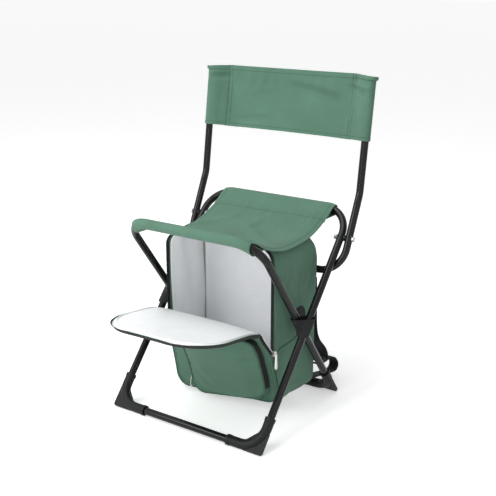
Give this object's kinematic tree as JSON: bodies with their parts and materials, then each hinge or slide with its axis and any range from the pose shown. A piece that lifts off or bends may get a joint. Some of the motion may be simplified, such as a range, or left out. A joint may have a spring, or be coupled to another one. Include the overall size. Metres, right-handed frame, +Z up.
{
  "type": "folding cooler stool",
  "caption": "Folding cross-legged stool of black tube with a slung cloth seat, a low cloth backrest and an insulated bag under the seat whose front flap lies open.",
  "frame": {"origin": "on the floor, under the middle of the whole object's bounding box", "axes": "+Z up, the seat's front and the bag's opening face -Y, +X to the sitter's left"},
  "size_m": [0.4294, 0.5231, 0.7052],
  "materials": {
    "black_enamel": "gloss",
    "dark_plastic": "satin",
    "green_cloth": "matte",
    "white_lining": "satin",
    "black_webbing": "matte",
    "zinc": "satin",
    "nickel": "satin"
  },
  "bodies": {
    "outer_frame": {"outer_upper_tube": "black_enamel", "outer_lower_tube": "black_enamel", "foot_front_left": "dark_plastic", "foot_front_right": "dark_plastic", "pivot_rivet_left": "zinc", "pivot_rivet_right": "zinc", "pivot_washer_left": "dark_plastic", "pivot_washer_right": "dark_plastic", "back_bolt_left": "zinc", "back_bolt_right": "zinc", "back_spacer_left": "dark_plastic", "back_spacer_right": "dark_plastic", "back_nut_left": "zinc", "back_nut_right": "zinc", "seat_cover": "green_cloth", "bag_side_left": "green_cloth", "bag_side_right": "green_cloth", "bag_top_panel": "green_cloth", "bag_bottom_panel": "green_cloth", "bag_back_panel": "green_cloth", "bag_lining": "white_lining", "front_panel": "green_cloth", "opening_zipper_tape": "black_webbing", "front_zipper_tape_left": "black_webbing", "front_zipper_tape_right": "black_webbing", "pocket_pouch": "green_cloth", "pocket_zipper_tape": "black_webbing", "pocket_slider": "nickel", "pivot_patch_left": "black_webbing", "pivot_patch_right": "black_webbing", "pivot_band_left": "black_webbing", "pivot_band_right": "black_webbing", "shoulder_strap_left": "black_webbing", "shoulder_strap_right": "black_webbing", "ladder_lock_left": "dark_plastic", "ladder_lock_right": "dark_plastic", "strap_webbing_left": "black_webbing", "strap_webbing_right": "black_webbing", "grab_handle": "black_webbing"},
    "inner_frame": {"inner_upper_tube": "black_enamel", "inner_lower_tube": "black_enamel", "foot_rear_left": "dark_plastic", "foot_rear_right": "dark_plastic"},
    "back_frame": {"back_lower_tube": "black_enamel", "back_post_left": "black_enamel", "back_post_right": "black_enamel", "post_cap_left": "dark_plastic", "post_cap_right": "dark_plastic", "post_button_left": "zinc", "post_button_right": "zinc", "backrest_cover": "green_cloth"},
    "flap": {"flap_panel": "green_cloth", "flap_lining": "white_lining", "flap_zipper_tape": "black_webbing"},
    "zipper_slider": {"zipper_slider": "nickel"},
    "zipper_pull": {"zipper_pull": "nickel"},
    "pocket_pull": {"pocket_pull": "nickel"}
  },
  "joints": [
    {"name": "frame_fold", "type": "hinge", "parent": "outer_frame", "child": "inner_frame", "pos_m": [0, 0.025, 0.21462], "axis": [-1, 0, 0], "range_deg": [0, 70], "deforming": ["seat_cover", "pivot_band_left", "pivot_band_right"]},
    {"name": "backrest_fold", "type": "hinge", "parent": "outer_frame", "child": "back_frame", "pos_m": [0, 0.15841, 0.37027], "axis": [1, 0, 0], "range_deg": [0, 80]},
    {"name": "flap_fold", "type": "hinge", "parent": "outer_frame", "child": "flap", "pos_m": [0, -0.07515, 0.217], "axis": [-1, 0, 0], "range_deg": [-45, 62]},
    {"name": "zipper_run", "type": "slide", "parent": "outer_frame", "child": "zipper_slider", "axis": [0, 0, 1], "range_m": [0, 0.17]},
    {"name": "zipper_pull_swing", "type": "hinge", "parent": "zipper_slider", "child": "zipper_pull", "pos_m": [0.1443, -0.0295, 0.1595], "axis": [0, -1, 0], "range_deg": [0, 50]},
    {"name": "pocket_pull_swing", "type": "hinge", "parent": "outer_frame", "child": "pocket_pull", "pos_m": [-0.0856, -0.0194, 0.045], "axis": [0, 1, 0], "range_deg": [0, 140]}
  ]
}
